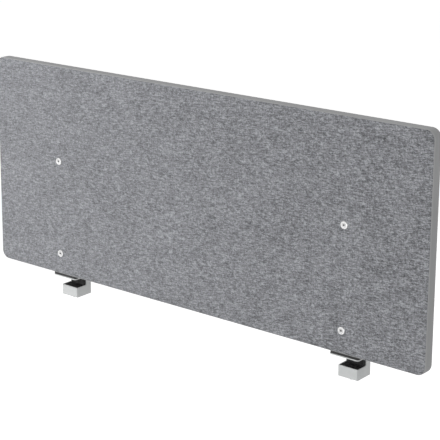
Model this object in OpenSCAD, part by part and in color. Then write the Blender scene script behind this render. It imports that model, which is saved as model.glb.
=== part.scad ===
// Acoustic divider screen for the back edge of a desk, with its two desk clamps.
// X runs along the screen, the front face looks to -Y, and Z is up.
// The origin is on the desk top, midway between the clamps, under the panel's mid-plane.

/* [Panel] */
// Length of the panel
panel_w = 1200; // [900:10:1800]
// Height of the panel
panel_h = 500; // [380:10:800]
// Thickness of the panel over both felt faces
panel_t = 25; // [25:1:40]
// Radius of the panel's four corners
corner_r = 20; // [16:1:36]
// Thickness of each felt face
felt_t = 1.5; // [1:0.25:3]
// Thickness of the edge band that runs round the panel
band_t = 1.5; // [1.5:0.25:4]
// Radius of the edge band's two long arrises
arris_r = 2; // [0.5:0.1:2.4]

/* [Edge band tongue] */
// Thickness of the tongue that holds the band in the frame's groove
tongue_t = 1.6; // [1:0.1:2.4]
// How far the tongue reaches into the groove
tongue_l = 8; // [6:0.5:10]
// Height of the barbs on the tongue
barb_h = 0.45; // [0.2:0.05:0.8]
// Length of one barb along the tongue
barb_l = 1.8; // [1:0.1:2.4]
// Number of barbs on each side of the tongue
barb_n = 3; // [2:1:3]

/* [Timber frame] */
// Width of the rails and end stiles
rail_w = 40; // [38:1:60]
// Width of the posts that the clamp bolts pass through
post_w = 60; // [50:1:90]
// Diameter of the frame's dowels
dowel_d = 8; // [6:1:9]
// Length of a dowel, half of it in each piece
dowel_l = 40; // [30:1:46]
// Distance between the two dowels of an end stile
stile_dowel_pitch = 16; // [14:1:18]
// Distance between the two dowels of a post
post_dowel_pitch = 28; // [24:1:32]

/* [Clamp bolts] */
// Distance from each end of the panel to the middle of its clamp
clamp_inset = 200; // [130:5:350]
// Height of the lower bolt above the panel's bottom edge
bolt_low = 50; // [50:1:90]
// Distance between the two bolts of a clamp
bolt_pitch = 225; // [150:1:260]
// Diameter of the bolt heads
bolt_head_d = 17; // [13:0.5:20]
// Thickness of the bolt heads
bolt_head_t = 2.2; // [1.8:0.1:3]
// Thread diameter of the bolts
bolt_d = 6; // [5:0.5:6]
// Length of the bolts under the head
bolt_l = 28; // [28:1:31]
// Outer diameter of the sleeve nuts
sleeve_d = 8.8; // [8.4:0.1:10]
// Length of the sleeve behind the nut's head
sleeve_l = 16; // [14:0.5:18]
// Thickness of the sleeve nut's head
sleeve_head_t = 2; // [1.8:0.1:3]

/* [Upright] */
// Width of the flat bar behind the panel
upright_w = 40; // [38:1:48]
// Thickness of the flat bar
upright_t = 4; // [3:0.5:6]
// Inside radius of the bend at the foot
bend_r = 4; // [3:0.5:5]
// Length of bar above the upper bolt
upright_over = 20; // [14:1:40]
// Corner radius of the bar's two ends
upright_corner_r = 6; // [3:0.5:10]

/* [Upper jaw] */
// Width of the jaw plate
jaw_w = 72; // [62:1:90]
// Depth of the jaw plate, from its front edge to the back of the housing
jaw_d = 66; // [56:1:70]
// Thickness of the jaw plate
jaw_t = 2.5; // [2.4:0.1:4]
// Corner radius of the jaw plate
jaw_corner_r = 5; // [2:0.5:8]
// Height of the rubber rest between the jaw plate and the panel
rest_h = 10; // [9:0.5:20]
// Thickness of the rubber liner under the jaw plate
liner_t = 1; // [0.8:0.1:3]
// Distance from the liner to the jaw plate's front edge
liner_inset = 5; // [2:0.5:8]

/* [Housing] */
// Largest desk top that the clamp takes
desk_gap = 25.5; // [22:0.5:45]
// Width of the housing
housing_w = 50; // [46:1:60]
// Gap between the panel's back face and the housing's front, seen from above
setback = 2.5; // [0.5:0.5:6]
// Depth of the tub that holds the pressure pad
tub_d = 31; // [29:1:45]
// Depth of the hollow spine behind the desk's edge
spine_d = 18; // [16:1:30]
// Height of the tub
tub_h = 24; // [23:0.5:30]
// Wall of the housing
wall = 2; // [1.6:0.1:2.5]
// Floor of the housing
floor_t = 3; // [2:0.1:4]
// Outer corner radius of the housing
housing_r = 3; // [2.5:0.1:4]
// Thickness of the rubber bumper that meets the desk's edge
bumper_t = 2; // [1:0.1:3]

/* [Pressure pad] */
// Thickness of the pad's rubber facing
pad_t = 2.5; // [1.5:0.1:4]
// Height of the pad's guided body
carrier_h = 17; // [14:0.5:17.5]
// Top wall of the pad's body
carrier_top = 4; // [3:0.1:5]
// Skirt of the pad's body
skirt_t = 2; // [1.4:0.1:2.4]
// How far the pad lies below the tub's rim when it is wound down
pad_drop = 0.8; // [0.3:0.1:3]
// Travel of the pad
pad_travel = 14; // [6:0.5:14]
// Gap between the pad's body and the housing, on each side
pad_gap = 0.4; // [0.2:0.05:0.8]

/* [Clamp screw] */
// Thread diameter of the clamp screw
screw_d = 8; // [6:0.5:10]
// Thread left in the boss when the pad is wound up
thread_grip = 6; // [5:0.5:8]
// Diameter of the pivot that turns in the pad
pivot_d = 5.5; // [4:0.1:6]
// Length of the pivot
pivot_l = 4.5; // [3:0.1:5]
// Outer diameter of the threaded boss in the housing
boss_d = 16; // [13:0.5:17]

/* [Hidden] */
$fn = 32;
corner_fn = 64;
over = 1;
seat = 0.05;
thread_gap = 0.03;
soft_gap = 0.5;
hex_share = 2 / sqrt(3);
barb_peak_share = 0.75;
clamp_x = panel_w / 2 - clamp_inset;

// Heights, with the desk top at zero
jaw_z = liner_t;
jaw_top_z = jaw_z + jaw_t;
panel_z = jaw_top_z + rest_h;
rim_z = -desk_gap;
housing_z = rim_z - tub_h;
pad_z = rim_z - pad_drop;
carrier_z = pad_z - pad_t - carrier_h;
bolt_zs = [panel_z + bolt_low, panel_z + bolt_low + bolt_pitch];
upright_top_z = bolt_zs[1] + upright_over;

// Depths, with the panel's mid-plane at zero
face_y = panel_t / 2;
core_y = face_y - felt_t;
tub_y = face_y + setback;
spine_y = tub_y + tub_d;
back_y = spine_y + spine_d;
jaw_y = back_y - jaw_d;
bumper_y = spine_y - bumper_t;

// Frame inside the edge band
core_w = panel_w - 2 * band_t;
core_h = panel_h - 2 * band_t;
core_r = corner_r - band_t;
core_z = panel_z + band_t;
stile_h = core_h - 2 * rail_w;
groove_gap = 0.5;
groove_d = tongue_l + groove_gap;
groove_w = tongue_t + 2 * barb_h + 2 * seat;
dowel_seat = 0.05;
stile_x = core_w / 2 - rail_w / 2;
stile_dowel_x = core_w / 2 - groove_d - (rail_w - groove_d) / 2;
bay_gap = 0.5;

// Holes for the clamp bolts
bolt_clearance = 0.3;
sleeve_clearance = 0.1;
bolt_hole_d = bolt_d + 2 * bolt_clearance;
sleeve_hole_d = sleeve_d + 2 * sleeve_clearance;
sleeve_tip_y = face_y + upright_t - sleeve_l;
bolt_socket_af = 4;
bolt_socket_depth = 2.6;
bolt_bevel = 0.8;
bolt_dish_d = 10;
bolt_dish_depth = 0.3;
sleeve_bore_l = bolt_l - (sleeve_tip_y + face_y) + soft_gap;
sleeve_socket_depth = 2;

// Foot of the upright and its screws
bend_out = bend_r + upright_t;
foot_end_y = back_y - wall;
screw_m = 5;
screw_clearance = 0.1;
plate_hole_d = screw_m + 2 * screw_clearance;
plate_thread_d = screw_m + 2 * thread_gap;
plate_screw_x = 14;
plate_screw_l = 20;
cap_d = 8.5;
cap_h = 5;
cap_socket_af = 4;
cap_socket_depth = 2.5;
spine_mid_y = spine_y + spine_d / 2;
spine_boss_d = 10;
foot_screw_y = tub_y + tub_d / 2;
sunk_head_d = 9.2;
sunk_head_h = (sunk_head_d - screw_m) / 2;
sunk_socket_af = 3;
sunk_socket_depth = 1.6;
foot_screw_l = sunk_head_h + upright_t;

// Rubber pieces
rest_inset = 0.6;
rest_back_gap = 0.3;
liner_back_gap = 1;
liner_side_inset = 6;
liner_corner_r = 4;
bumper_inset = 2;
bumper_margin = 0.5;
bumper_tuck = 3;
bumper_step = 0.4;
groove_n = 3;
pad_groove_w = 1.2;
pad_groove_depth = 0.8;

// Tub, pad body and clamp screw
pocket_r = 1.5;
guide_w = 5;
guide_x = 14;
pad_y0 = tub_y + wall + pad_gap;
pad_y1 = bumper_y - pad_gap;
pad_mid_y = (pad_y0 + pad_y1) / 2;
pad_w = housing_w - 2 * wall - 2 * pad_gap;
pad_d = pad_y1 - pad_y0;
pad_r = pocket_r + pad_gap;
socket_r = pivot_d / 2 + seat;
socket_depth = pivot_l + soft_gap;
pivot_bite = 1.1;
pivot_top_z = carrier_z + carrier_h - carrier_top + pivot_bite;
shoulder_z = pivot_top_z - pivot_l;
boss_gap = 0.3;
boss_top_z = shoulder_z - boss_gap;
screw_z = boss_top_z - thread_grip - pad_travel;
screw_l = pivot_top_z - screw_z;
carrier_boss_d = 14;
carrier_rib_t = 1.6;
carrier_rib_h = 3;
screw_socket_af = 4;
screw_socket_depth = 5;
screw_bevel = 0.8;

// Flat outline with round corners, its lower left corner at the origin
module round_rect(w, h, r) {
    translate([r, 0]) square([w - 2 * r, h]);
    translate([0, r]) square([w, h - 2 * r]);
    for (x = [r, w - r], y = [r, h - r]) translate([x, y]) circle(r = r);
}

// Plate in the X-Z plane from y_front to y_back, from an outline drawn in x and z
module wall_xz(y_front, y_back) {
    translate([0, y_back, 0]) rotate([90, 0, 0]) linear_extrude(y_back - y_front) children();
}

// Turns a piece drawn along +Z so that it points along +Y
module along_y() {
    rotate([-90, 0, 0]) children();
}

// Hexagonal socket of the given width across flats
module hex(af, h) {
    cylinder(d = af * hex_share, h = h, $fn = 6);
}

// The places of the panel's rounded outline: a profile is carried round it.
// The profile's x is zero at the panel's outer face and negative towards the middle.
module round_panel() {
    half_w = panel_w / 2 - corner_r;
    half_h = panel_h / 2 - corner_r;
    translate([0, 0, panel_z + panel_h / 2]) rotate([90, 0, 0]) {
        for (i = [0:3]) {
            sx = (i == 0 || i == 3) ? 1 : -1;
            sy = (i < 2) ? 1 : -1;
            translate([sx * half_w, sy * half_h, 0]) rotate([0, 0, 90 * i])
                rotate_extrude(angle = 90, $fn = corner_fn) translate([corner_r, 0]) children();
        }
        for (i = [0:3]) {
            run = (i % 2 == 0) ? half_h : half_w;
            reach = (i % 2 == 0) ? panel_w / 2 : panel_h / 2;
            rotate([0, 0, 90 * i]) translate([reach, run, 0]) rotate([90, 0, 0])
                linear_extrude(2 * run) children();
        }
    }
}

// Section of the edge band: a lipped face with a barbed tongue behind it
module band_section() {
    intersection() {
        translate([-band_t, -face_y]) square([band_t, panel_t]);
        translate([-band_t - 2 * arris_r, -face_y]) round_rect(band_t + 2 * arris_r, panel_t, arris_r);
    }
    translate([-band_t - tongue_l, -tongue_t / 2]) square([tongue_l + seat, tongue_t]);
    for (i = [0:barb_n - 1], s = [-1, 1])
        translate([-band_t - tongue_l + i * barb_l, s * tongue_t / 2])
            polygon([[0, 0], [barb_l, 0], [barb_peak_share * barb_l, s * barb_h]]);
}

module band_groove() {
    round_panel()
        translate([-band_t - groove_d, -groove_w / 2]) square([groove_d + over, groove_w]);
}

// Dowel holes or dowels: pairs at each joint of an upright member with a rail
module dowel_pair(x, z, pitch, d, l) {
    for (s = [-1, 1]) translate([x + s * pitch / 2, 0, z - l / 2]) cylinder(d = d, h = l);
}

module all_dowels(d, l) {
    for (z = [core_z + rail_w, core_z + core_h - rail_w], s = [-1, 1]) {
        dowel_pair(s * stile_dowel_x, z, stile_dowel_pitch, d, l);
        dowel_pair(s * clamp_x, z, post_dowel_pitch, d, l);
    }
}

module dowel_holes() {
    all_dowels(dowel_d + 2 * dowel_seat, dowel_l + 2 * soft_gap);
}

// Holes through the panel: narrow for the bolt, wide behind for the sleeve nut
module bolt_holes(x) {
    for (z = bolt_zs) translate([x, 0, z]) {
        translate([0, -face_y - over, 0]) along_y() cylinder(d = bolt_hole_d, h = panel_t + 2 * over);
        translate([0, sleeve_tip_y - soft_gap, 0]) along_y() cylinder(d = sleeve_hole_d, h = panel_t);
    }
}

// Outline of one rail, its rounded outer corners at the bottom
module rail_outline() {
    translate([-core_w / 2 + core_r, 0]) square([core_w - 2 * core_r, rail_w]);
    translate([-core_w / 2, core_r]) square([core_w, rail_w - core_r]);
    for (s = [-1, 1]) translate([s * (core_w / 2 - core_r), core_r]) circle(r = core_r, $fn = corner_fn);
}

module bottom_rail() color("burlywood") difference() {
    translate([0, 0, core_z]) wall_xz(-core_y, core_y) rail_outline();
    band_groove();
    dowel_holes();
}

module top_rail() color("burlywood") difference() {
    translate([0, 0, core_z + core_h]) wall_xz(-core_y, core_y) mirror([0, 1]) rail_outline();
    band_groove();
    dowel_holes();
}

module end_stile(s) color("burlywood") difference() {
    translate([s * stile_x - rail_w / 2, -core_y, core_z + rail_w]) cube([rail_w, 2 * core_y, stile_h]);
    band_groove();
    dowel_holes();
}

module post(s) color("burlywood") difference() {
    translate([s * clamp_x - post_w / 2, -core_y, core_z + rail_w]) cube([post_w, 2 * core_y, stile_h]);
    dowel_holes();
    bolt_holes(s * clamp_x);
}

module frame_dowels() color("tan") all_dowels(dowel_d, dowel_l);

// Sound-absorbing board that fills one bay of the frame
module core_board(x0, x1) color("whitesmoke")
    translate([x0 + bay_gap, -core_y, core_z + rail_w + bay_gap])
        cube([x1 - x0 - 2 * bay_gap, 2 * core_y, stile_h - 2 * bay_gap]);

module core_left() core_board(-core_w / 2 + rail_w, -clamp_x - post_w / 2);

module core_middle() core_board(-clamp_x + post_w / 2, clamp_x - post_w / 2);

module core_right() core_board(clamp_x + post_w / 2, core_w / 2 - rail_w);

module felt(y0, y1) color("gray") difference() {
    translate([-core_w / 2, 0, core_z]) wall_xz(y0, y1) round_rect(core_w, core_h, core_r, $fn = corner_fn);
    for (s = [-1, 1]) bolt_holes(s * clamp_x);
}

module edge_band() color("darkgray") round_panel() band_section();

// Flat bar behind the panel, bent back into a foot that lies on the jaw plate
module upright() color("gainsboro") difference() {
    union() {
        translate([-upright_w / 2, 0, upright_top_z]) wall_xz(face_y, face_y + upright_t) mirror([0, 1])
            leg_outline(upright_top_z - jaw_top_z - bend_out);
        translate([0, face_y + bend_out, jaw_top_z + bend_out]) rotate([0, 90, 0]) rotate([0, 0, -90])
            rotate_extrude(angle = 90, $fn = corner_fn) translate([bend_r, -upright_w / 2])
                square([upright_t, upright_w]);
        translate([-upright_w / 2, foot_end_y, jaw_top_z]) linear_extrude(upright_t) mirror([0, 1])
            leg_outline(foot_end_y - face_y - bend_out);
    }
    for (z = bolt_zs) translate([0, face_y - over, z]) along_y()
        cylinder(d = sleeve_hole_d, h = upright_t + 2 * over);
    plate_screw_holes(spine_mid_y, plate_hole_d);
    plate_screw_holes(foot_screw_y, plate_thread_d);
}

// A leg's outline: square at its inner end, round corners at its free end, which lies at zero
module leg_outline(l) {
    r = upright_corner_r;
    translate([0, r]) square([upright_w, l - r]);
    translate([r, 0]) square([upright_w - 2 * r, l]);
    for (x = [r, upright_w - r]) translate([x, r]) circle(r = r);
}

// Vertical holes for a pair of screws through the jaw plate and the upright's foot
module plate_screw_holes(y, d) {
    for (s = [-1, 1]) translate([s * plate_screw_x, y, jaw_z - over])
        cylinder(d = d, h = jaw_t + upright_t + 2 * over);
}

module jaw_plate() color("silver") difference() {
    translate([-jaw_w / 2, jaw_y, jaw_z]) linear_extrude(jaw_t) round_rect(jaw_w, jaw_d, jaw_corner_r);
    plate_screw_holes(spine_mid_y, plate_hole_d);
    plate_screw_holes(foot_screw_y, plate_hole_d);
    for (s = [-1, 1]) translate([s * plate_screw_x, foot_screw_y, jaw_z])
        cylinder(r1 = sunk_head_d / 2 + seat, r2 = screw_m / 2 + seat, h = sunk_head_h + seat);
}

// Rubber block that the panel stands on, with the jaw plate's own front corners
module panel_rest() color("#202225") {
    w = jaw_w - 2 * rest_inset;
    r = jaw_corner_r - rest_inset;
    d = face_y - rest_back_gap - jaw_y - rest_inset;
    translate([-w / 2, jaw_y + rest_inset, jaw_top_z]) linear_extrude(rest_h) {
        translate([0, r]) square([w, d - r]);
        translate([r, 0]) square([w - 2 * r, d]);
        for (x = [r, w - r]) translate([x, r]) circle(r = r);
    }
}

module jaw_liner() color("#202225") {
    w = jaw_w - 2 * liner_side_inset;
    y0 = jaw_y + liner_inset;
    translate([-w / 2, y0, jaw_z - liner_t]) linear_extrude(liner_t)
        round_rect(w, bumper_y - liner_back_gap - y0, liner_corner_r);
}

// Cast housing: an open tub in front and a hollow spine that rises behind the desk's edge
module housing() color("gainsboro") difference() {
    union() {
        difference() {
            union() {
                translate([-housing_w / 2, tub_y, housing_z]) linear_extrude(tub_h)
                    round_rect(housing_w, tub_d + spine_d, housing_r);
                translate([-housing_w / 2, spine_y, housing_z])
                    linear_extrude(jaw_z - housing_z) spine_outline();
            }
            translate([-housing_w / 2 + wall, tub_y + wall, housing_z + floor_t]) linear_extrude(tub_h)
                round_rect(housing_w - 2 * wall, tub_d - wall, pocket_r);
            translate([-housing_w / 2 + wall, spine_y + wall, housing_z + floor_t])
                linear_extrude(jaw_z - housing_z)
                    round_rect(housing_w - 2 * wall, spine_d - 2 * wall, pocket_r);
        }
        translate([0, pad_mid_y, housing_z]) cylinder(d = boss_d, h = boss_top_z - housing_z);
        for (s = [-1, 1]) {
            translate([s * plate_screw_x, spine_mid_y, housing_z])
                cylinder(d = spine_boss_d, h = jaw_z - housing_z);
            translate([s * plate_screw_x - wall / 2, spine_y + wall / 2, housing_z + floor_t / 2])
                cube([wall, spine_d - wall, jaw_z - housing_z - floor_t / 2]);
            translate([s * guide_x - guide_w / 2, bumper_y, housing_z + floor_t / 2])
                cube([guide_w, bumper_t + wall / 2, tub_h - floor_t / 2 - bumper_tuck - bumper_margin]);
        }
    }
    translate([0, pad_mid_y, housing_z - over]) cylinder(d = screw_d + 2 * thread_gap, h = tub_h);
    for (s = [-1, 1]) translate([s * plate_screw_x, spine_mid_y, jaw_z - plate_screw_l])
        cylinder(d = plate_thread_d, h = plate_screw_l + over);
}

// Plan of the spine: round behind, square where it meets the desk's edge
module spine_outline() {
    square([housing_w, spine_d - housing_r]);
    translate([housing_r, 0]) square([housing_w - 2 * housing_r, spine_d]);
    for (x = [housing_r, housing_w - housing_r]) translate([x, spine_d - housing_r]) circle(r = housing_r);
}

// Rubber bumper that meets the desk's edge, with a set-back tongue that reaches down behind the pad
module edge_bumper() color("#202225") {
    w = housing_w - 2 * bumper_inset;
    tongue_w = housing_w - 2 * (wall + pocket_r);
    wall_xz(bumper_y, spine_y)
        translate([-w / 2, rim_z + bumper_margin]) round_rect(w, -rim_z - 2 * bumper_margin, bumper_inset);
    wall_xz(bumper_y + bumper_step, spine_y)
        translate([-tongue_w / 2, rim_z - bumper_tuck])
            round_rect(tongue_w, bumper_tuck + bumper_margin + 2 * bumper_inset, bumper_inset);
}

// Moulded body of the pressure pad: an inverted cup with a ribbed socket for the screw's pivot
module pad_body() color("#2a2c2f") difference() {
    union() {
        difference() {
            pad_block(carrier_z, carrier_h, 0);
            pad_block(carrier_z - carrier_top, carrier_h, skirt_t);
        }
        translate([0, pad_mid_y, shoulder_z])
            cylinder(d = carrier_boss_d, h = carrier_z + carrier_h - carrier_top / 2 - shoulder_z);
        for (a = [0, 90]) translate([0, pad_mid_y, 0]) rotate([0, 0, a]) {
            l = (a == 0 ? pad_w : pad_d) - 2 * skirt_t + seat;
            translate([-l / 2, -carrier_rib_t / 2, carrier_z + carrier_h - carrier_top - carrier_rib_h])
                cube([l, carrier_rib_t, carrier_rib_h + carrier_top / 2]);
        }
    }
    translate([0, pad_mid_y, shoulder_z - over]) cylinder(r = socket_r, h = socket_depth + over);
}

// Block with the pad's plan, drawn in by an inset on each side
module pad_block(z, h, inset) {
    translate([-pad_w / 2 + inset, pad_y0 + inset, z]) linear_extrude(h)
        round_rect(pad_w - 2 * inset, pad_d - 2 * inset, max(pad_r - inset, seat));
}

module pad_rubber() color("#17181a") difference() {
    pad_block(carrier_z + carrier_h, pad_t, 0);
    for (i = [1:groove_n]) {
        y = pad_y0 + i * pad_d / (groove_n + 1);
        translate([-pad_w / 2 - over, y - pad_groove_w / 2, pad_z - pad_groove_depth])
            cube([pad_w + 2 * over, pad_groove_w, pad_groove_depth + over]);
    }
}

// Set screw with a hexagonal socket below and a plain pivot above
module clamp_screw() color("lightgray") translate([0, pad_mid_y, screw_z]) difference() {
    r = screw_d / 2;
    body_l = screw_l - pivot_l;
    rotate_extrude() polygon([
        [0, 0], [r - screw_bevel, 0], [r, screw_bevel], [r, body_l - screw_bevel],
        [r - screw_bevel, body_l], [pivot_d / 2, body_l], [pivot_d / 2, screw_l - screw_bevel / 2],
        [pivot_d / 2 - screw_bevel / 2, screw_l], [0, screw_l]
    ]);
    translate([0, 0, -over]) hex(screw_socket_af, screw_socket_depth + over);
}

// Connector bolts: flat bevelled heads against the front felt
module panel_bolts() color("white") for (z = bolt_zs) translate([0, -face_y - bolt_head_t, z]) along_y()
    difference() {
        r = bolt_head_d / 2;
        rotate_extrude() polygon([
            [0, bolt_dish_depth], [bolt_dish_d / 2, 0], [r - bolt_bevel, 0], [r, bolt_bevel],
            [r, bolt_head_t], [bolt_d / 2, bolt_head_t], [bolt_d / 2, bolt_head_t + bolt_l - bolt_bevel],
            [bolt_d / 2 - bolt_bevel, bolt_head_t + bolt_l], [0, bolt_head_t + bolt_l]
        ]);
        translate([0, 0, -over]) hex(bolt_socket_af, bolt_socket_depth + over);
    }

// Sleeve nuts: their heads lie on the upright and their sleeves reach into the post
module sleeve_nuts() color("white") for (z = bolt_zs) translate([0, sleeve_tip_y, z]) along_y()
    difference() {
        r = bolt_head_d / 2;
        end = sleeve_l + sleeve_head_t;
        rotate_extrude() polygon([
            [0, 0], [sleeve_d / 2, 0], [sleeve_d / 2, sleeve_l], [r, sleeve_l],
            [r, end - bolt_bevel], [r - bolt_bevel, end], [0, end]
        ]);
        translate([0, 0, -over]) cylinder(d = bolt_d + 2 * thread_gap, h = sleeve_bore_l + over);
        translate([0, 0, end - sleeve_socket_depth]) hex(bolt_socket_af, sleeve_socket_depth + over);
    }

// Cap screws that hold the foot and the jaw plate on the spine
module spine_screws() color("lightgray") for (s = [-1, 1])
    translate([s * plate_screw_x, spine_mid_y, jaw_top_z + upright_t]) difference() {
        union() {
            cylinder(d = cap_d, h = cap_h);
            translate([0, 0, seat - plate_screw_l]) cylinder(d = screw_m, h = plate_screw_l);
        }
        translate([0, 0, cap_h - cap_socket_depth]) hex(cap_socket_af, cap_socket_depth + over);
    }

// Countersunk screws that hold the jaw plate under the foot
module foot_screws() color("lightgray") for (s = [-1, 1])
    translate([s * plate_screw_x, foot_screw_y, jaw_z]) difference() {
        rotate_extrude() polygon([
            [0, 0], [sunk_head_d / 2, 0], [screw_m / 2, sunk_head_h],
            [screw_m / 2, foot_screw_l], [0, foot_screw_l]
        ]);
        translate([0, 0, -over]) hex(sunk_socket_af, sunk_socket_depth + over);
    }

module at_clamp(s) {
    translate([s * clamp_x, 0, 0]) children();
}

bottom_rail();
top_rail();
end_stile(-1);  // end_stile_left
end_stile(1);  // end_stile_right
post(-1);  // post_left
post(1);  // post_right
frame_dowels();
core_left();
core_middle();
core_right();
felt(-face_y, -core_y);  // front_felt
felt(core_y, face_y);  // back_felt
edge_band();
at_clamp(-1) upright();  // upright_left
at_clamp(1) upright();  // upright_right
at_clamp(-1) jaw_plate();  // jaw_plate_left
at_clamp(1) jaw_plate();  // jaw_plate_right
at_clamp(-1) panel_rest();  // panel_rest_left
at_clamp(1) panel_rest();  // panel_rest_right
at_clamp(-1) jaw_liner();  // jaw_liner_left
at_clamp(1) jaw_liner();  // jaw_liner_right
at_clamp(-1) housing();  // housing_left
at_clamp(1) housing();  // housing_right
at_clamp(-1) edge_bumper();  // edge_bumper_left
at_clamp(1) edge_bumper();  // edge_bumper_right
at_clamp(-1) pad_body();  // pad_body_left
at_clamp(1) pad_body();  // pad_body_right
at_clamp(-1) pad_rubber();  // pad_rubber_left
at_clamp(1) pad_rubber();  // pad_rubber_right
at_clamp(-1) clamp_screw();  // clamp_screw_left
at_clamp(1) clamp_screw();  // clamp_screw_right
at_clamp(-1) panel_bolts();  // panel_bolts_left
at_clamp(1) panel_bolts();  // panel_bolts_right
at_clamp(-1) sleeve_nuts();  // sleeve_nuts_left
at_clamp(1) sleeve_nuts();  // sleeve_nuts_right
at_clamp(-1) spine_screws();  // spine_screws_left
at_clamp(1) spine_screws();  // spine_screws_right
at_clamp(-1) foot_screws();  // foot_screws_left
at_clamp(1) foot_screws();  // foot_screws_right
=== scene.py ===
import math

import bmesh
import bpy
from mathutils import Matrix, Vector, noise


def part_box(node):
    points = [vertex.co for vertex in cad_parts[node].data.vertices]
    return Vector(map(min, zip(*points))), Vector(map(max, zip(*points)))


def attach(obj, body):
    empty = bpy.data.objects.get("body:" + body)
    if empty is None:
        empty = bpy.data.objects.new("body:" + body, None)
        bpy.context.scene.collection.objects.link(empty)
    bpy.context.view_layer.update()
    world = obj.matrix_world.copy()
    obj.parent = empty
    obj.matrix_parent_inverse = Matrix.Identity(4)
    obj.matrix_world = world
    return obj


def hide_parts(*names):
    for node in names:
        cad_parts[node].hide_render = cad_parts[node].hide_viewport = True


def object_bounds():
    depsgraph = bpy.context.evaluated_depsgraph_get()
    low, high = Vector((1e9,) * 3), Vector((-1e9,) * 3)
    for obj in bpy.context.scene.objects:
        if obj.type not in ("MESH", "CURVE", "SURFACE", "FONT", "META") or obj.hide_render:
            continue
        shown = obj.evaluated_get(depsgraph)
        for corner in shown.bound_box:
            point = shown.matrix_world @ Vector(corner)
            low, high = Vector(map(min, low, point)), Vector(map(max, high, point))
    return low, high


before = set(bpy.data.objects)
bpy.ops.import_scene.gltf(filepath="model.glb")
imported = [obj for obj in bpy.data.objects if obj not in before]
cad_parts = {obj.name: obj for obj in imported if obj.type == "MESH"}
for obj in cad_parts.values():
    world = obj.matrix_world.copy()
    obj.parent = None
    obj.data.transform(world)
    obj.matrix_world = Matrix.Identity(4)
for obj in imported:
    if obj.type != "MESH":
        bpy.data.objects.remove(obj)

cad_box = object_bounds()
MM = 0.001
SIDES = ("left", "right")

# Felt faces: they stand a little proud of the edge band and roll down to it
FELT_CORNER = 18.5 * MM
FELT_PROUD = 0.4 * MM
FELT_TUCK = 0.4 * MM
FELT_ROLL = 1.2 * MM

# The felt's grid: cells are finest at the rim and grow inwards
FELT_CELL = 3.4 * MM
FELT_RIM_CELL = 0.25 * MM
FELT_CELL_GROWTH = 0.35

# Unevenness of the felt: its height, lumps per metre, and layers of noise, each finer by the step
FELT_LUMP = 0.16 * MM
LUMPS_ALONG = 55
LUMPS_UP = 80
LUMP_FALL_OFF = 0.8
LUMP_STEP = 2.1
LUMP_LAYERS = 3
LUMP_SEED = 7

# Bolt heads on the felt: it is pressed in under each head and rises again round it
HEAD_RADIUS = 8.5 * MM
DIMPLE_START = HEAD_RADIUS - 1 * MM
DIMPLE_REACH = 7 * MM

# Bolt holes in the felt, and how many radii out the ragged edge is looked for
HOLE_RADIUS = {"front_felt": 3.3 * MM, "back_felt": 4.5 * MM}
RAGGED_REACH = 2.5

# Where the painted highlight on the edge band's rounded arrises begins and is full, from the panel's
# mid-plane
ARRIS_START = 9.8 * MM
ARRIS_END = 11.2 * MM

# Rounding of the silver parts' edges
WELD_REACH = 0.002 * MM
EDGE_WIDTH = 0.35 * MM
EDGE_SEGMENTS = 2
EDGE_ANGLE = math.radians(40)

# What all fasteners share
TURN_FACETS = 48
TURN_ANGLES = [math.tau * i / TURN_FACETS for i in range(TURN_FACETS)]
SHARP_ANGLE = math.radians(32)
MERGE_REACH = 0.001 * MM
SLIVER_REACH = 0.0005 * MM
SCREW_BEVEL = 0.8 * MM
HEAD_ROUNDING = 0.1 * MM

# Threads: rows per turn, depth as a share of the pitch, crest and flank as shares of half a pitch
THREAD_ROWS = 8
THREAD_DEPTH_SHARE = 0.6134
CREST_SHARE = 0.12
FLANK_SHARE = 0.63

# Hexagonal sockets, with the drill's hole at the bottom
SOCKET_WIDTH = 4 * MM
SOCKET_CHAMFER = 0.3 * MM
SOCKET_MOUTH = SOCKET_WIDTH / 2 + 2 * SOCKET_CHAMFER
DRILL_RADIUS = 0.92 * SOCKET_WIDTH / 2
DRILL_TIP_RADIUS = 0.2 * SOCKET_WIDTH / 2
DRILL_TIP_DEPTH = 0.4 * MM

# Clamp screws
CLAMP_PITCH = 1.25 * MM
CLAMP_SOCKET_DEPTH = 5 * MM
PIVOT_RADIUS = 2.75 * MM
PIVOT_LENGTH = 4.5 * MM
PIVOT_TIP = 0.4 * MM

# Panel bolts
BOLT_PITCH = 1 * MM
BOLT_RADIUS = 3 * MM
BOLT_THREAD_LENGTH = 16 * MM
BOLT_HEAD_HEIGHT = 2.2 * MM
BOLT_SOCKET_DEPTH = 2.6 * MM
DISH_RADIUS = 5.6 * MM
DISH_DEPTH = 0.3 * MM

# Sleeve nuts
NUT_HEAD_HEIGHT = 2 * MM
NUT_SOCKET_DEPTH = 2 * MM
NUT_SLEEVE_RADIUS = 4.4 * MM
NUT_BORE_RADIUS = 3.03 * MM
NUT_BORE_LENGTH = 15.5 * MM
NUT_CHAMFER = 0.3 * MM

# Cap screws of the spine
CAP_RADIUS = 4.25 * MM
CAP_HEIGHT = 5 * MM
CAP_EDGE = 0.45 * MM
CAP_SOCKET_DEPTH = 2.5 * MM
CAP_SHANK_RADIUS = 2.5 * MM
KNURL_DEPTH = 0.14 * MM
KNURL_INSET = 0.12 * MM
KNURL_RISE = 0.15 * MM

# The mean of any noise, and the two values between which nearly all of it lies
NOISE_MEAN = 0.5
NOISE_ENDS = (0.3, 0.7)

# Melange felt: its tint, and the greys along the ramp between the darkest and the palest shade
FELT_TINT = (0.968, 0.987, 1.05)
FELT_GREYS = ((0.0, 0.095), (0.35, 0.208), (0.62, 0.317), (1.0, 0.53))
FELT_SHADES = (-0.65, 0.65)

# The melange's contrast at the panel's left and right end: painted shade that rises to the right as raking
# light would
FELT_RAKING_SHADE_CONTRAST = (0.82, 1.24)

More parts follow.
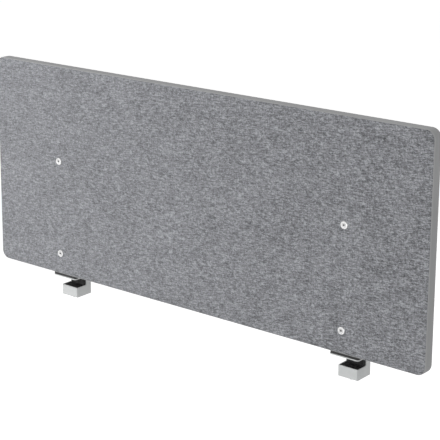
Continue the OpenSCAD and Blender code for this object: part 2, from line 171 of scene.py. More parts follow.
# What the melange is made of
FELT_TUFTS = (
    # cells per metre along X, Y and Z, warp, weight
    ((14, 20, 20), 0.3, 0.24),
    ((40, 60, 65), 0.8, 0.46),
    ((152, 240, 290), 1.2, 1.14),
)
FELT_STREAKS = (
    # cells per metre along X, Y and Z, turn in degrees, weight
    ((70, 300, 420), 4, 0.38),
    ((130, 300, 430), -34, 0.20),
    ((120, 300, 420), 38, 0.20),
    ((400, 300, 110), 8, 0.24),
)
FELT_STREAK_ENDS = (NOISE_MEAN - 0.1, NOISE_MEAN + 0.1)
FELT_HAIR_CELLS = (170, 600, 1300)
FELT_HAIR_WIDTH = 0.035
FELT_HAIRS = (
    # turn in degrees, weight: pale hairs above nought and dark ones below
    (12, 0.22),
    (-28, -0.2),
    (64, 0.18),
    (-75, -0.16),
)
FELT_NAP_CELLS = (1400, 1400, 2300)

# Colours of patchy finishes, the deeper one first
BAND_GREYS = ((0.360, 0.362, 0.365), (0.390, 0.392, 0.396))
# The edge band's painted arris highlight, paler than its greys
BAND_ARRIS_HIGHLIGHT = (0.46, 0.462, 0.466)
SILVERS = ((0.505, 0.517, 0.517), (0.545, 0.556, 0.555))
SILVER_FLAKE = (0.70, 0.71, 0.71)
NYLON_BLACKS = ((0.017, 0.018, 0.020), (0.030, 0.031, 0.034))
SOFTWOOD = ((0.62, 0.44, 0.25), (0.76, 0.60, 0.40))
BEECH = ((0.74, 0.57, 0.37), (0.82, 0.68, 0.48))
FIBRE_PALES = ((0.70, 0.69, 0.66), (0.90, 0.895, 0.87))
FLOOR_PALES = ((0.86, 0.86, 0.86), (0.88, 0.88, 0.88))

# Powder coat's orange peel, in cells per metre
SHEET_PEEL = 900
CASTING_PEEL = 600

# Wood: cells per metre across and along the grain, the rings' swing, and how fine and dark the pores are
GRAIN_ACROSS = 160
GRAIN_ALONG = 6
RING_SWING = 38.0
PORE_FINENESS = 8
PORE_SHADE = 0.6

# Fibre board: cells per metre along X, Y and Z, and the turns of its crossed fibres in degrees
FIBRE_CELLS = (220, 220, 1500)
FIBRE_TURNS = (25, -40)

RUBBERS = (
    # finish, nodes, clean and dusty grey, gloss, dusty patches per metre
    ("black_rubber", "jaw_liner", 0.012, 0.026, 0.3, 70),
    ("rest_rubber", "panel_rest", 0.034, 0.056, 0.25, 70),
    ("pad_rubber", "pad_rubber", 0.003, 0.060, 0.1, 190),
    ("bumper_rubber", "edge_bumper", 0.020, 0.062, 0.2, 110),
)

# A fastener's zones, and the plating of each: finish, fresh and worn grey, roughness. The dish and socket
# zones carry the same plating painted darker, as painted shade
RIM, DISH, SOCKET = range(3)
NICKEL = (
    ("nickel_rim", 0.66, 0.58, 0.3),
    # Painted shade: darker nickel in the dish and in the socket
    ("nickel_dish_painted_shade", 0.47, 0.39, 0.42),
    ("nickel_socket_painted_shade", 0.30, 0.20, 0.45),
)
ZINC = (
    ("zinc_plate", 0.62, 0.50, 0.32),
    # Painted shade: darker zinc at the socket's mouth and in the socket
    ("zinc_edge_painted_shade", 0.52, 0.44, 0.4),
    ("zinc_socket_painted_shade", 0.22, 0.14, 0.5),
)
# Roughness of fresh and of rubbed plating, as shares of its own
PLATE_FRESH = 0.8
PLATE_RUBBED = 1.5

# Camera fitted to the photograph's edges, in a frame 440 pixels square
PHOTO_SIZE = 440
FOCAL_PIXELS = 1489
SENSOR_WIDTH = 36.0
VIEW_AZIMUTH = math.radians(38.57)
VIEW_ELEVATION = math.radians(14.10)
VIEW_ROLL = math.radians(0.37)
VIEW_DISTANCE = 3.173
VIEW_TARGET = Vector((0.0698, 0, 0.3796))
VIEW_SHIFT = -0.15
VIEW_CLIP = (0.05, 200.0)

LAMPS = (
    # name, place, side of the square, power in watts
    ("key", (-1.75, -2.1, 0.9), 1.6, 54),
    ("back", (-0.4, 2.5, 2.1), 2.0, 32),
    ("fill_right", (2.9, -0.7, 0.8), 1.3, 12),
)

# World and floor: the floor lies a desk's height below the clamps, and its glow grows from near to far
WHITE = (1.0, 1.0, 1.0, 1.0)
WORLD_LEVEL = 0.4
FLOOR_Z = -0.72
FLOOR_REACH = 40.0
FLOOR_FACETS = 64
FLOOR_GLOW_REACH = (1.0, 4.5)
FLOOR_GLOW = (0.43, 0.67)


def grey(level, tint=(1.0, 1.0, 1.0)):
    return tuple(level * t for t in tint)


class Nodes:
    """A tree of shader nodes. Each method adds what it needs and returns its output."""

    def __init__(self, tree):
        self.tree = tree
        self.tree.nodes.clear()

    def node(self, kind, inputs=(), **settings):
        """Adds one node and returns the node itself."""
        made = self.tree.nodes.new(kind)
        for key, value in settings.items():
            setattr(made, key, value)
        for key, value in dict(inputs).items():
            self.feed(made.inputs[key], value)
        return made

    def feed(self, socket, value):
        if isinstance(value, bpy.types.NodeSocket):
            self.tree.links.new(value, socket)
        else:
            socket.default_value = value

    def place(self):
        """The shaded point in the object's own metres."""
        return self.node("ShaderNodeTexCoord").outputs["Object"]

    def along(self, axis):
        """One coordinate of the shaded point."""
        return self.node("ShaderNodeSeparateXYZ", {"Vector": self.place()}).outputs[axis]

    def noise(self, cells, detail, rough=0.55, warp=0.0, turn=0):
        """Noise of so many cells per metre, alike or for each axis, turned by degrees in the X-Z plane."""
        scale = cells if isinstance(cells, tuple) else (cells, cells, cells)
        tilt = (0, math.radians(turn), 0)
        turned = self.node("ShaderNodeMapping", {"Vector": self.place(), "Rotation": tilt}).outputs[0]
        point = self.node("ShaderNodeMapping", {"Vector": turned, "Scale": scale}).outputs[0]
        inputs = {"Vector": point, "Scale": 1.0, "Detail": detail, "Roughness": rough, "Distortion": warp}
        return self.node("ShaderNodeTexNoise", inputs).outputs["Fac"]

    def math(self, operation, a, b=0.0):
        return self.node("ShaderNodeMath", {0: a, 1: b}, operation=operation).outputs[0]

    def spread(self, value, low, high, to_low=0.0, to_high=1.0):
        """Maps low..high to to_low..to_high, held at both ends."""
        inputs = {"Value": value, "From Min": low, "From Max": high, "To Min": to_low, "To Max": to_high}
        return self.node("ShaderNodeMapRange", inputs).outputs["Result"]

    def ramp(self, value, places, colours):
        made = self.node("ShaderNodeValToRGB", {"Fac": value})
        elements = made.color_ramp.elements
        while len(elements) < len(places):
            elements.new(0.5)
        for element, place, colour in zip(elements, places, colours):
            element.position = place
            element.color = (*colour, 1.0)
        return made.outputs["Color"]

    def mix(self, share, *colours):
        """A blend of two colours, each an output or a red, green and blue."""
        made = self.node("ShaderNodeMix", {"Factor": share}, data_type="RGBA")
        for socket, colour in zip("AB", colours):
            self.feed(made.inputs[socket], (*colour, 1.0) if isinstance(colour, tuple) else colour)
        return made.outputs["Result"]

    def bump(self, height, depth, strength, under=None):
        made = self.node("ShaderNodeBump", {"Height": height, "Distance": depth, "Strength": strength})
        if under is not None:
            self.feed(made.inputs["Normal"], under)
        return made.outputs["Normal"]

    def seen(self):
        """1 for what the camera, gloss and glass see, and 0 for the light that falls on surfaces."""
        path = self.node("ShaderNodeLightPath")
        direct = self.math("MAXIMUM", path.outputs["Is Camera Ray"], path.outputs["Is Glossy Ray"])
        return self.math("MAXIMUM", direct, path.outputs["Is Transmission Ray"])


class Finish(Nodes):
    """A material's nodes round one shader, whose even values are given by their names."""

    def __init__(self, name, roughness, metallic=0.0, **even):
        self.material = bpy.data.materials.new(name)
        self.material.use_nodes = True
        super().__init__(self.material.node_tree)
        self.shader = self.node("ShaderNodeBsdfPrincipled", {"Roughness": roughness, "Metallic": metallic})
        self.node("ShaderNodeOutputMaterial", {"Surface": self.shader.outputs["BSDF"]})
        for key, value in even.items():
            self.shader.inputs[key.replace("_", " ")].default_value = value

    def finish(self, colour, normal=None, roughness=None):
        self.feed(self.shader.inputs["Base Color"], colour)
        if normal is not None:
            self.feed(self.shader.inputs["Normal"], normal)
        if roughness is not None:
            self.feed(self.shader.inputs["Roughness"], roughness)
        return self.material


def felt_finish():
    """Melange felt: drifts, tufts and curling fibres of light and dark grey wool."""
    sheen = {"Sheen_Weight": 0.1, "Sheen_Roughness": 0.6}
    look = Finish("melange_felt", roughness=0.95, Specular_IOR_Level=0.12, **sheen)
    shade = 0.0
    relief = 0.0
    for cells, warp, weight in FELT_TUFTS:
        tuft = look.math("SUBTRACT", look.noise(cells, detail=2.0, rough=0.6, warp=warp), NOISE_MEAN)
        shade = look.math("ADD", shade, look.math("MULTIPLY", tuft, weight))
    for cells, turn, weight in FELT_STREAKS:
        streak = look.noise(cells, detail=1.0, rough=0.5, warp=0.7, turn=turn)
        relief = look.math("ADD", relief, look.math("MULTIPLY", streak, 2 * weight))
        shade = look.math("ADD", shade, look.spread(streak, *FELT_STREAK_ENDS, -weight / 2, weight / 2))
    for turn, weight in FELT_HAIRS:
        hair = look.noise(FELT_HAIR_CELLS, detail=0.0, rough=0.5, warp=1.6, turn=turn)
        off = look.math("ABSOLUTE", look.math("SUBTRACT", hair, NOISE_MEAN))
        line = look.spread(off, 0.0, FELT_HAIR_WIDTH, to_low=weight, to_high=0.0)
        relief = look.math("ADD", relief, look.math("ABSOLUTE", line))
        shade = look.math("ADD", shade, line)
    # Painted shade: the melange's contrast grows along X, standing in for raking light on the fibres
    painted_shade_contrast = look.spread(look.along("X"), cad_box[0].x, cad_box[1].x, *FELT_RAKING_SHADE_CONTRAST)
    shade = look.spread(look.math("MULTIPLY", shade, painted_shade_contrast), *FELT_SHADES)
    places, levels = zip(*FELT_GREYS)
    colour = look.ramp(shade, places, [grey(level, FELT_TINT) for level in levels])
    nap = look.noise(FELT_NAP_CELLS, detail=2.0, rough=0.6, warp=0.8)
    normal = look.bump(relief, depth=0.8 * MM, strength=0.9)
    normal = look.bump(nap, depth=0.25 * MM, strength=0.6, under=normal)
    return look.finish(colour, normal)


def band_finish():
    """Smooth grey plastic with a satin grain, and a painted highlight on its two rounded arrises."""
    look = Finish("edge_band_plastic", roughness=0.7, Specular_IOR_Level=0.08)
    patches = look.noise(cells=(9, 30, 9), detail=2.0)
    grain = look.noise(cells=900, detail=3.0, rough=0.6)
    colour = look.ramp(patches, NOISE_ENDS, BAND_GREYS)
    depth = look.math("ABSOLUTE", look.along("Y"))
    # Painted highlight: the band turns paler towards both arrises
    arris_highlight = look.spread(depth, ARRIS_START, ARRIS_END, to_low=0.0, to_high=0.5)
    colour = look.mix(arris_highlight, colour, BAND_ARRIS_HIGHLIGHT)
    normal = look.bump(grain, depth=0.03 * MM, strength=0.5)
    return look.finish(colour, normal, look.spread(grain, *NOISE_ENDS, to_low=0.64, to_high=0.76))


def silver_finish(name, peel_cells):
    """Silver powder coat: an orange-peel skin with fine metal flake."""
    look = Finish(name, roughness=0.42, metallic=0.25, Specular_IOR_Level=0.3)
    flake = look.noise(cells=4200, detail=1.0, rough=0.5)
    peel = look.noise(cells=peel_cells, detail=2.0, rough=0.5)
    patches = look.noise(cells=30, detail=2.0)
    base = look.ramp(patches, NOISE_ENDS, SILVERS)
    colour = look.mix(look.spread(flake, 0.55, 0.75, to_low=0.0, to_high=0.3), base, SILVER_FLAKE)
    normal = look.bump(peel, depth=0.06 * MM, strength=0.5)
    return look.finish(colour, normal, look.spread(peel, *NOISE_ENDS, to_low=0.37, to_high=0.49))


def rubber_finish(name, clean, dusty, gloss, dust_cells):
    """Matt black moulded rubber with dust in its pores."""
    look = Finish(name, roughness=0.72, Specular_IOR_Level=gloss)
    pores = look.noise(cells=1500, detail=3.0, rough=0.65)
    dust = look.noise(cells=dust_cells, detail=3.0, rough=0.6)
    colour = look.ramp(dust, (0.40, 0.64), (grey(clean), grey(dusty)))
    normal = look.bump(pores, depth=0.05 * MM, strength=0.6)
    return look.finish(colour, normal, look.spread(dust, *NOISE_ENDS, to_low=0.62, to_high=0.8))


def nylon_finish():
    """Black moulded nylon with spark-eroded texture."""
    look = Finish("black_nylon", roughness=0.5, Specular_IOR_Level=0.45)
    spark = look.noise(cells=2200, detail=2.0, rough=0.7)
    patches = look.noise(cells=50, detail=2.0)
    colour = look.ramp(patches, (0.3, 0.75), NYLON_BLACKS)
    normal = look.bump(spark, depth=0.04 * MM, strength=0.6)
    return look.finish(colour, normal, look.spread(spark, *NOISE_ENDS, to_low=0.42, to_high=0.58))


def plated_finish(name, fresh, worn, roughness):
    """Plated steel: drawn streaks too fine to see one by one, and rubbed spots."""
    look = Finish(name, roughness, metallic=1.0)
    streaks = look.noise(cells=(2600, 2600, 500), detail=2.0, rough=0.6)
    spots = look.noise(cells=240, detail=3.0, rough=0.6)
    colour = look.mix(look.spread(spots, 0.42, 0.7), grey(fresh), grey(worn))
    normal = look.bump(streaks, depth=0.01 * MM, strength=0.5)
    rough = look.spread(spots, 0.35, 0.7, PLATE_FRESH * roughness, PLATE_RUBBED * roughness)
    return look.finish(colour, normal, rough)


def wood_finish(name, colours, grain_axis):
    """Sawn wood: growth rings as bands drawn out along the grain, with short pores."""
    dark, light = colours
    look = Finish(name, roughness=0.7, Specular_IOR_Level=0.25)
    cells = tuple(GRAIN_ALONG if axis == grain_axis else GRAIN_ACROSS for axis in "XYZ")
    rings = look.noise(cells, detail=3.0, rough=0.6, warp=0.4)
    pores = look.noise(tuple(PORE_FINENESS * c for c in cells), detail=2.0, rough=0.7)
    band = look.math("SINE", look.math("MULTIPLY", rings, RING_SWING))
    colour = look.mix(look.spread(band, -1.0, 1.0), light, dark)
    pore_colour = tuple(c * PORE_SHADE for c in dark)
    colour = look.mix(look.spread(pores, 0.5, 0.8, to_low=0.0, to_high=0.35), colour, pore_colour)
    return look.finish(colour, look.bump(pores, depth=0.08 * MM, strength=0.6))


def fibre_board_finish():
    """Pressed pale fibre: crossed short fibres."""
    look = Finish("fibre_board", roughness=0.95, Specular_IOR_Level=0.1)
    fibres = [look.noise(FIBRE_CELLS, detail=3.0, rough=0.6, warp=0.6, turn=turn) for turn in FIBRE_TURNS]
    tangle = look.math("MAXIMUM", *fibres)
    colour = look.ramp(tangle, (0.4, 0.7), FIBRE_PALES)
    return look.finish(colour, look.bump(tangle, depth=0.2 * MM, strength=0.7))


def both(*stems):
    """The names of nodes that come in a left and a right one."""
    return [f"{stem}_{side}" for stem in stems for side in SIDES]


def dress(material, *nodes):
    """Gives CAD nodes a finish, by their names."""
    for name in nodes:
        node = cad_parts[name]
        node.data.materials.clear()
        node.data.materials.append(material)


def soften(*nodes):
    """Rounds the sharp edges of CAD nodes by a small radius."""
    for name in nodes:
        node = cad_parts[name]
        weld = node.modifiers.new("weld", "WELD")
        weld.merge_threshold = WELD_REACH
        bevel = node.modifiers.new("edges", "BEVEL")
        bevel.width = EDGE_WIDTH
        bevel.segments = EDGE_SEGMENTS
        bevel.limit_method = "ANGLE"
        bevel.angle_limit = EDGE_ANGLE
        bevel.use_clamp_overlap = True
        bevel.harden_normals = False
        normals = node.modifiers.new("normals", "WEIGHTED_NORMAL")
        normals.keep_sharp = False


def add_object(name, data):
    """A new object of the scene, made of a mesh, a lamp or a camera."""
    made = bpy.data.objects.new(name, data)
    bpy.context.scene.collection.objects.link(made)
    return made


def mesh_object(name, bm, materials):
    """Turns a bmesh into an object of the scene."""
    mesh = bpy.data.meshes.new(name)
    bm.to_mesh(mesh)
    bm.free()
    for material in materials:
        mesh.materials.append(material)
    return add_object(name, mesh)


def mesh_piece(name, bm, materials, body):
    """Turns a bmesh into a piece that rides on a body."""
    piece = mesh_object(name, bm, materials)
    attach(piece, body)
    return piece


def smooth_step(value):
    """Rises gently from 0 to 1, and stays there."""
    share = min(max(value, 0.0), 1.0)
    return share * share * (3 - 2 * share)


def inside_distance(x, z, half_w, half_h, radius):
    """How far a point lies inside a rounded rectangle."""
    over_x = abs(x) - (half_w - radius)
    over_z = abs(z) - (half_h - radius)
    corner = math.hypot(max(over_x, 0.0), max(over_z, 0.0))
    return radius - corner - min(max(over_x, over_z), 0.0)


def stations(half):
    """Places from -half to half: close together near both ends, then a cell apart."""
    rim = [0.0]
    while rim[-1] < FELT_CORNER:
        rim.append(rim[-1] + min(FELT_CELL, FELT_RIM_CELL + FELT_CELL_GROWTH * rim[-1]))
    flat = half - rim[-1]
    count = max(1, round(2 * flat / FELT_CELL))
    middle = [-flat + 2 * flat * i / count for i in range(1, count)]
    return [r - half for r in rim] + middle + [half - r for r in reversed(rim)]


def head_places(node, radius):
    """X and Z of the two heads of a node, one above the other."""
    low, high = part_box(node)
    x = (low.x + high.x) / 2
    return [(x, low.z + radius), (x, high.z - radius)]


def felt_grid(bm, half_w, half_h, centre_z):
    """A flat grid whose outline is the felt's, with its round corners."""
    across = [x / half_w for x in stations(half_w)]
    rows = []
    for z in stations(half_h):
        past = max(abs(z) - (half_h - FELT_CORNER), 0.0)
        reach = half_w - FELT_CORNER + math.sqrt(max(FELT_CORNER**2 - past**2, 0.0))
        rows.append([bm.verts.new((share * reach, 0, centre_z + z)) for share in across])
    for lower, upper in zip(rows, rows[1:]):
        for i in range(len(across) - 1):
            bm.faces.new((lower[i], lower[i + 1], upper[i + 1], upper[i]))


def cut_holes(bm, places, radius):
    """Takes out the faces over each hole and draws the ragged edge to a circle."""
    for x, z in places:
        middle = Vector((x, z))
        hole = [face for face in bm.faces if math.hypot(*(face.calc_center_median().xz - middle)) < radius]
        bmesh.ops.delete(bm, geom=hole, context="FACES")
        for vert in bm.verts:
            off = math.hypot(vert.co.x - x, vert.co.z - z)
            if vert.is_boundary and off < RAGGED_REACH * radius:
                out = (vert.co.xz - middle).normalized() * radius
                vert.co.x, vert.co.z = x + out.x, z + out.y


def felt_height(x, z, rise, bolts, seed):
    """How far the felt stands out from the band's face, where rise is 0 at its rim and 1 inside."""
    near = min(math.hypot(x - bolt_x, z - bolt_z) for bolt_x, bolt_z in bolts)
    held = smooth_step((near - DIMPLE_START) / DIMPLE_REACH)
    point = Vector((x * LUMPS_ALONG, seed, z * LUMPS_UP))
    lump = noise.fractal(point, LUMP_FALL_OFF, LUMP_STEP, LUMP_LAYERS) * FELT_LUMP
    return -FELT_TUCK * (1 - rise) + rise * held * (FELT_PROUD + lump)


def close_slab(bm, inner_y):
    """Draws every open edge in to the panel and closes the back flat."""
    rim = [edge for edge in bm.edges if edge.is_boundary]
    for item in bmesh.ops.extrude_edge_only(bm, edges=rim)["geom"]:
        if isinstance(item, bmesh.types.BMVert):
            item.co.y = inner_y
    back = [edge for edge in bm.edges if edge.is_boundary]
    bmesh.ops.triangle_fill(bm, edges=back, use_beauty=True)
    bmesh.ops.recalc_face_normals(bm, faces=bm.faces)


def felt_face(node, outward, material):
    """One felt face as a slab: a fine outer skin with bolt holes, a rim and a flat back."""
    low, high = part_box(node)
    half_w = (high.x - low.x) / 2
    half_h = (high.z - low.z) / 2
    centre_z = (high.z + low.z) / 2
    outer_y, inner_y = (low.y, high.y) if outward < 0 else (high.y, low.y)
    bolts = [place for name in both("panel_bolts") for place in head_places(name, HEAD_RADIUS)]
    bm = bmesh.new()
    felt_grid(bm, half_w, half_h, centre_z)
    cut_holes(bm, bolts, HOLE_RADIUS[node])
    for vert in bm.verts:
        x, z = vert.co.x, vert.co.z
        inside = inside_distance(x, z - centre_z, half_w, half_h, FELT_CORNER)
        rise = smooth_step(inside / FELT_ROLL)
        vert.co.y = outer_y + outward * felt_height(x, z, rise, bolts, outward * LUMP_SEED)
    skin = list(bm.faces)
    close_slab(bm, inner_y)
    for face in skin:
        face.smooth = True
    piece = mesh_piece(f"{node}_skin", bm, [material], "screen")
    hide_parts(node)


def around(reaches, z):
    """Points about the Z axis, each at its own reach."""
    return [
        Vector((reach * math.cos(angle), reach * math.sin(angle), z))
        for reach, angle in zip(reaches, TURN_ANGLES)
    ]


def ring(radius, z, knurl=0.0):
    """A circle of points, every second one drawn in by the knurl."""
    return around([radius - knurl * (i % 2) for i in range(TURN_FACETS)], z)


def hex_ring(z):
    """The socket's hexagon, with as many points as a ring."""
    bends = [(angle + math.pi / 6) % (math.pi / 3) - math.pi / 6 for angle in TURN_ANGLES]
    return around([SOCKET_WIDTH / 2 / math.cos(bend) for bend in bends], z)


def skin_rings(bm, rings, zone=RIM, cap_first=False, cap_last=False):
    """Joins rings of equally many points, one after another."""
    rows = [[bm.verts.new(point) for point in one] for one in rings]
    faces = []
    for here, there in zip(rows, rows[1:]):
        for i in range(len(here)):
            after = (i + 1) % len(here)
            faces.append(bm.faces.new((here[i], here[after], there[after], there[i])))
    if cap_first:
        faces.append(bm.faces.new(rows[0]))
    if cap_last:
        faces.append(bm.faces.new(rows[-1]))
    for face in faces:
        face.material_index = zone


def thread(bm, radius, pitch, start, stop, end_radius):
    """A helical thread from start to stop: its crest at the radius, both ends run out to end_radius."""
    step = pitch / THREAD_ROWS
    depth = THREAD_DEPTH_SHARE * pitch
    count = math.ceil((stop - start) / step) + 2 * THREAD_ROWS
    columns = []
    for i, angle in enumerate(TURN_ANGLES):
        column = []
        for row in range(count):
            z = start + (row - THREAD_ROWS) * step + pitch * i / TURN_FACETS
            held = min(max(z, start), stop)
            off_crest = abs((row % THREAD_ROWS) / THREAD_ROWS - 0.5) * 2
            fall = min(max((off_crest - CREST_SHARE) / FLANK_SHARE, 0.0), 1.0)
            reach = min(radius - depth * fall, end_radius + min(held - start, stop - held))
            column.append(bm.verts.new((reach * math.cos(angle), reach * math.sin(angle), held)))
        columns.append(column)
    for i in range(TURN_FACETS):
        here, there = columns[i], columns[(i + 1) % TURN_FACETS]
        skip = THREAD_ROWS if i == TURN_FACETS - 1 else 0
        for row in range(count - 1 - skip):
            bm.faces.new((here[row], there[row + skip], there[row + skip + 1], here[row + 1]))


def socket(bm, depth):
    """A hexagonal socket, open towards -Z, with a drilled bottom, in the socket zone's painted shade."""
    bottom = [ring(DRILL_TIP_RADIUS, depth + DRILL_TIP_DEPTH), ring(DRILL_RADIUS, depth), hex_ring(depth)]
    skin_rings(bm, bottom, SOCKET, cap_first=True)
    skin_rings(bm, [hex_ring(depth), hex_ring(SOCKET_CHAMFER)], SOCKET)


def flat_head(height):
    """Rings of a flat head, from its bevelled face to its back."""
    return [
        ring(HEAD_RADIUS - SCREW_BEVEL, 0),
        ring(HEAD_RADIUS - HEAD_ROUNDING, SCREW_BEVEL - HEAD_ROUNDING),
        ring(HEAD_RADIUS, SCREW_BEVEL + HEAD_ROUNDING),
        ring(HEAD_RADIUS, height),
    ]


def close_up(bm):
    """Joins a fastener's zones along their shared rings and turns all faces outwards."""
    bmesh.ops.remove_doubles(bm, verts=bm.verts, dist=MERGE_REACH)
    bmesh.ops.dissolve_degenerate(bm, dist=SLIVER_REACH, edges=bm.edges)
    bmesh.ops.recalc_face_normals(bm, faces=bm.faces)
    for face in bm.faces:
        face.smooth = True


def clamp_screw_form(bm, length, radius):
    """Set screw along +Z: a hexagonal socket below, a cut thread and a turned pivot above."""
    shoulder = length - PIVOT_LENGTH
    end = radius - SCREW_BEVEL
    socket(bm, CLAMP_SOCKET_DEPTH)
    skin_rings(bm, [hex_ring(SOCKET_CHAMFER), ring(SOCKET_MOUTH, 0), ring(end, 0)])
    thread(bm, radius, CLAMP_PITCH, 0, shoulder, end)
    pivot = [
        ring(end, shoulder),
        ring(PIVOT_RADIUS, shoulder),
        ring(PIVOT_RADIUS, length - PIVOT_TIP),
        ring(PIVOT_RADIUS - PIVOT_TIP, length),
    ]
    skin_rings(bm, pivot, cap_last=True)


def panel_bolt_form(bm, length):
    """Connector bolt along +Z: a bright bevelled head with a satin dish and a hexagonal socket, the dish
    and socket in painted shade.
    """
    thread_start = length - BOLT_THREAD_LENGTH
    end = BOLT_RADIUS - SCREW_BEVEL
    socket(bm, BOLT_SOCKET_DEPTH)
    # Painted shade: the dish takes the darker dish zone
    dish = [hex_ring(SOCKET_CHAMFER), ring(SOCKET_MOUTH, DISH_DEPTH / 2), ring(DISH_RADIUS, 0)]
    skin_rings(bm, dish, DISH)
    shank = [
        ring(BOLT_RADIUS, BOLT_HEAD_HEIGHT),
        ring(BOLT_RADIUS, thread_start - SCREW_BEVEL),
        ring(end, thread_start),
    ]
    skin_rings(bm, [ring(DISH_RADIUS, 0), *flat_head(BOLT_HEAD_HEIGHT), *shank])
    thread(bm, BOLT_RADIUS, BOLT_PITCH, thread_start, length, end)
    skin_rings(bm, [ring(end, length), ring(end / 2, length)], cap_last=True)


def sleeve_nut_form(bm, length):
    """Sleeve nut along +Z: a flat bevelled head with a socket, and a bored sleeve behind it."""
    socket(bm, NUT_SOCKET_DEPTH)
    # Painted shade on the socket's mouth
    skin_rings(bm, [hex_ring(SOCKET_CHAMFER), ring(SOCKET_MOUTH, 0)], DISH)
    sleeve = [
        ring(NUT_SLEEVE_RADIUS, NUT_HEAD_HEIGHT),
        ring(NUT_SLEEVE_RADIUS, length - NUT_CHAMFER),
        ring(NUT_SLEEVE_RADIUS - NUT_CHAMFER, length),
        ring(NUT_BORE_RADIUS + NUT_CHAMFER, length),
        ring(NUT_BORE_RADIUS, length - NUT_CHAMFER),
    ]
    skin_rings(bm, [ring(SOCKET_MOUTH, 0), *flat_head(NUT_HEAD_HEIGHT), *sleeve])
    # Painted shade inside the bore
    bore = [ring(NUT_BORE_RADIUS, length - NUT_CHAMFER), ring(NUT_BORE_RADIUS, length - NUT_BORE_LENGTH)]
    skin_rings(bm, bore, SOCKET, cap_last=True)


def cap_screw_form(bm, length):
    """Cap screw along +Z: a knurled head with a hexagonal socket, and a plain shank."""
    socket(bm, CAP_SOCKET_DEPTH)
    # Painted shade on the socket's mouth
    skin_rings(bm, [hex_ring(SOCKET_CHAMFER), ring(SOCKET_MOUTH, 0)], DISH)
    body = [
        ring(SOCKET_MOUTH, 0),
        ring(CAP_RADIUS - CAP_EDGE - HEAD_ROUNDING, 0),
        ring(CAP_RADIUS - KNURL_INSET, CAP_EDGE),
        ring(CAP_RADIUS, CAP_EDGE + KNURL_RISE, KNURL_DEPTH),
        ring(CAP_RADIUS, CAP_HEIGHT - CAP_EDGE, KNURL_DEPTH),
        ring(CAP_RADIUS - KNURL_INSET, CAP_HEIGHT),
        ring(CAP_SHANK_RADIUS, CAP_HEIGHT),
        ring(CAP_SHANK_RADIUS, length - CAP_EDGE),
        ring(CAP_SHANK_RADIUS - CAP_EDGE, length),
    ]
    skin_rings(bm, body, cap_last=True)


def fasteners(node, form, sizes, places, axis, materials, body="screen"):
    """One piece with a fastener at each place, its head or foot there and its length along the axis."""
    turn = Vector((0, 0, 1)).rotation_difference(Vector(axis)).to_matrix().to_4x4()
    bm = bmesh.new()
    for place in places:
        one = bmesh.new()
        form(one, *sizes)
        close_up(one)
        bmesh.ops.transform(one, matrix=Matrix.Translation(place) @ turn, verts=one.verts)
        mesh = bpy.data.meshes.new("one")
        one.to_mesh(mesh)
        one.free()
        bm.from_mesh(mesh)
        bpy.data.meshes.remove(mesh)
    piece = mesh_piece(f"{node}_cut", bm, materials, body)
    piece.data.set_sharp_from_angle(angle=SHARP_ANGLE)
    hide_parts(node)


def clamp_screw(side, zinc):
    node = f"clamp_screw_{side}"
    low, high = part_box(node)
    foot = ((low.x + high.x) / 2, (low.y + high.y) / 2, low.z)
    sizes = (high.z - low.z, (high.x - low.x) / 2)
    fasteners(node, clamp_screw_form, sizes, [foot], (0, 0, 1), zinc, f"screw_{side}")


def panel_bolts(side, nickel):
    node = f"panel_bolts_{side}"
    low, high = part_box(node)
    places = [(x, low.y, z) for x, z in head_places(node, HEAD_RADIUS)]
    fasteners(node, panel_bolt_form, [high.y - low.y], places, (0, 1, 0), nickel)


def sleeve_nuts(side, nickel):
    node = f"sleeve_nuts_{side}"
    low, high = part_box(node)
    places = [(x, high.y, z) for x, z in head_places(node, HEAD_RADIUS)]
    fasteners(node, sleeve_nut_form, [high.y - low.y], places, (0, -1, 0), nickel)


def spine_screws(side, zinc):
    node = f"spine_screws_{side}"
    low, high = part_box(node)
    y = (low.y + high.y) / 2
    places = [(x, y, high.z) for x in (low.x + CAP_RADIUS, high.x - CAP_RADIUS)]
    fasteners(node, cap_screw_form, [high.z - low.z], places, (0, 0, -1), zinc)


def panel():
    """The timber frame, its filling and its edge band get their finishes, and both felt faces are made."""
    dress(wood_finish("softwood_rail", SOFTWOOD, "X"), "bottom_rail", "top_rail")
    dress(wood_finish("softwood_post", SOFTWOOD, "Z"), *both("end_stile", "post"))
    dress(wood_finish("beech_dowel", BEECH, "Z"), "frame_dowels")
    dress(fibre_board_finish(), "core_left", "core_middle", "core_right")
    dress(band_finish(), "edge_band")
    felt = felt_finish()
    felt_face("front_felt", -1, felt)
    felt_face("back_felt", 1, felt)


def clamps():
    """The silver, rubber and nylon parts get their finishes, and the silver ones fine rounded edges."""
    dress(silver_finish("silver_sheet", SHEET_PEEL), *both("upright", "jaw_plate"))
    dress(silver_finish("silver_casting", CASTING_PEEL), *both("housing"))
    for name, stem, *settings in RUBBERS:
        dress(rubber_finish(name, *settings), *both(stem))
    dress(nylon_finish(), *both("pad_body"))
    soften(*both("housing", "upright", "jaw_plate"))


def small_metal():
    """Plated finishes, and a cut form for every fastener but the sunk foot screws."""
    nickel = [plated_finish(*zone) for zone in NICKEL]
    zinc = [plated_finish(*zone) for zone in ZINC]
    dress(nickel[RIM], *both("panel_bolts", "sleeve_nuts"))
    dress(zinc[RIM], *both("clamp_screw", "spine_screws", "foot_screws"))
    for side in SIDES:
        clamp_screw(side, zinc)
        panel_bolts(side, nickel)
        sleeve_nuts(side, nickel)
        spine_screws(side, zinc)


def studio_light():
    """A large soft key from the front left, a wide box behind and a weak fill from the right."""
    middle = (cad_box[0] + cad_box[1]) / 2
    for name, place, size, power in LAMPS:
        data = bpy.data.lights.new(name, "AREA")
        data.shape = "SQUARE"
        data.size = size
        data.energy = power
        lamp = add_object(name, data)
        lamp.location = place
        lamp.rotation_mode = "QUATERNION"
        lamp.rotation_quaternion = (Vector(place) - middle).to_track_quat("Z", "Y")


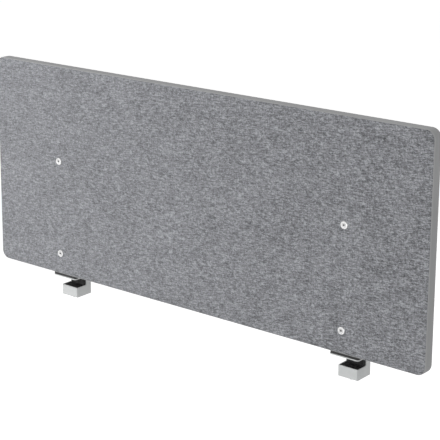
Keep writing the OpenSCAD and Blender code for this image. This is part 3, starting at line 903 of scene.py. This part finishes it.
def studio_world():
    """White where it is seen, and a plain even level for the light that falls on surfaces."""
    world = bpy.data.worlds.new("studio")
    bpy.context.scene.world = world
    world.use_nodes = True
    nodes = Nodes(world.node_tree)
    level = nodes.spread(nodes.seen(), 0.0, 1.0, to_low=WORLD_LEVEL, to_high=1.0)
    background = nodes.node("ShaderNodeBackground", {"Color": WHITE, "Strength": level})
    nodes.node("ShaderNodeOutputWorld", {"Surface": background.outputs[0]})


def floor_finish():
    """Pale floor that glows for the camera, and the more the farther from the object."""
    look = Finish("pale_floor", roughness=0.9, Specular_IOR_Level=0.0, Emission_Color=WHITE)
    colour = look.ramp(look.noise(cells=3, detail=2.0), NOISE_ENDS, FLOOR_PALES)
    flat = look.node("ShaderNodeVectorMath", {0: look.place(), 1: (1, 1, 0)}, operation="MULTIPLY")
    far = look.node("ShaderNodeVectorMath", {0: flat.outputs[0]}, operation="LENGTH").outputs["Value"]
    glow = look.spread(far, *FLOOR_GLOW_REACH, *FLOOR_GLOW)
    look.feed(look.shader.inputs["Emission Strength"], look.math("MULTIPLY", look.seen(), glow))
    return look.finish(colour)


def floor():
    """A round floor a desk's height below the clamps. It takes the object's shadow."""
    bm = bmesh.new()
    bmesh.ops.create_circle(bm, cap_ends=True, segments=FLOOR_FACETS, radius=FLOOR_REACH)
    bmesh.ops.translate(bm, verts=bm.verts, vec=(0, 0, FLOOR_Z))
    mesh_object("floor", bm, [floor_finish()])


def photo_camera():
    """The camera that gives the photograph's lines on the panel, its bolts and both clamps."""
    flat = math.cos(VIEW_ELEVATION)
    back = Vector((math.sin(VIEW_AZIMUTH) * flat, -math.cos(VIEW_AZIMUTH) * flat, math.sin(VIEW_ELEVATION)))
    right = (-back).cross(Vector((0, 0, 1))).normalized()
    up = right.cross(-back)
    turned_right = right * math.cos(VIEW_ROLL) + up * math.sin(VIEW_ROLL)
    turned_up = up * math.cos(VIEW_ROLL) - right * math.sin(VIEW_ROLL)
    data = bpy.data.cameras.new("photo")
    data.sensor_width = SENSOR_WIDTH
    data.lens = FOCAL_PIXELS / PHOTO_SIZE * SENSOR_WIDTH
    data.shift_y = VIEW_SHIFT
    data.clip_start, data.clip_end = VIEW_CLIP
    camera = add_object("photo", data)
    camera.rotation_mode = "QUATERNION"
    camera.rotation_quaternion = Matrix((turned_right, turned_up, back)).transposed().to_quaternion()
    camera.location = VIEW_TARGET + back * VIEW_DISTANCE
    bpy.context.scene.camera = camera


bpy.context.scene.view_settings.view_transform = "Standard"
photo_camera()
studio_light()
studio_world()
floor()
panel()
clamps()
small_metal()
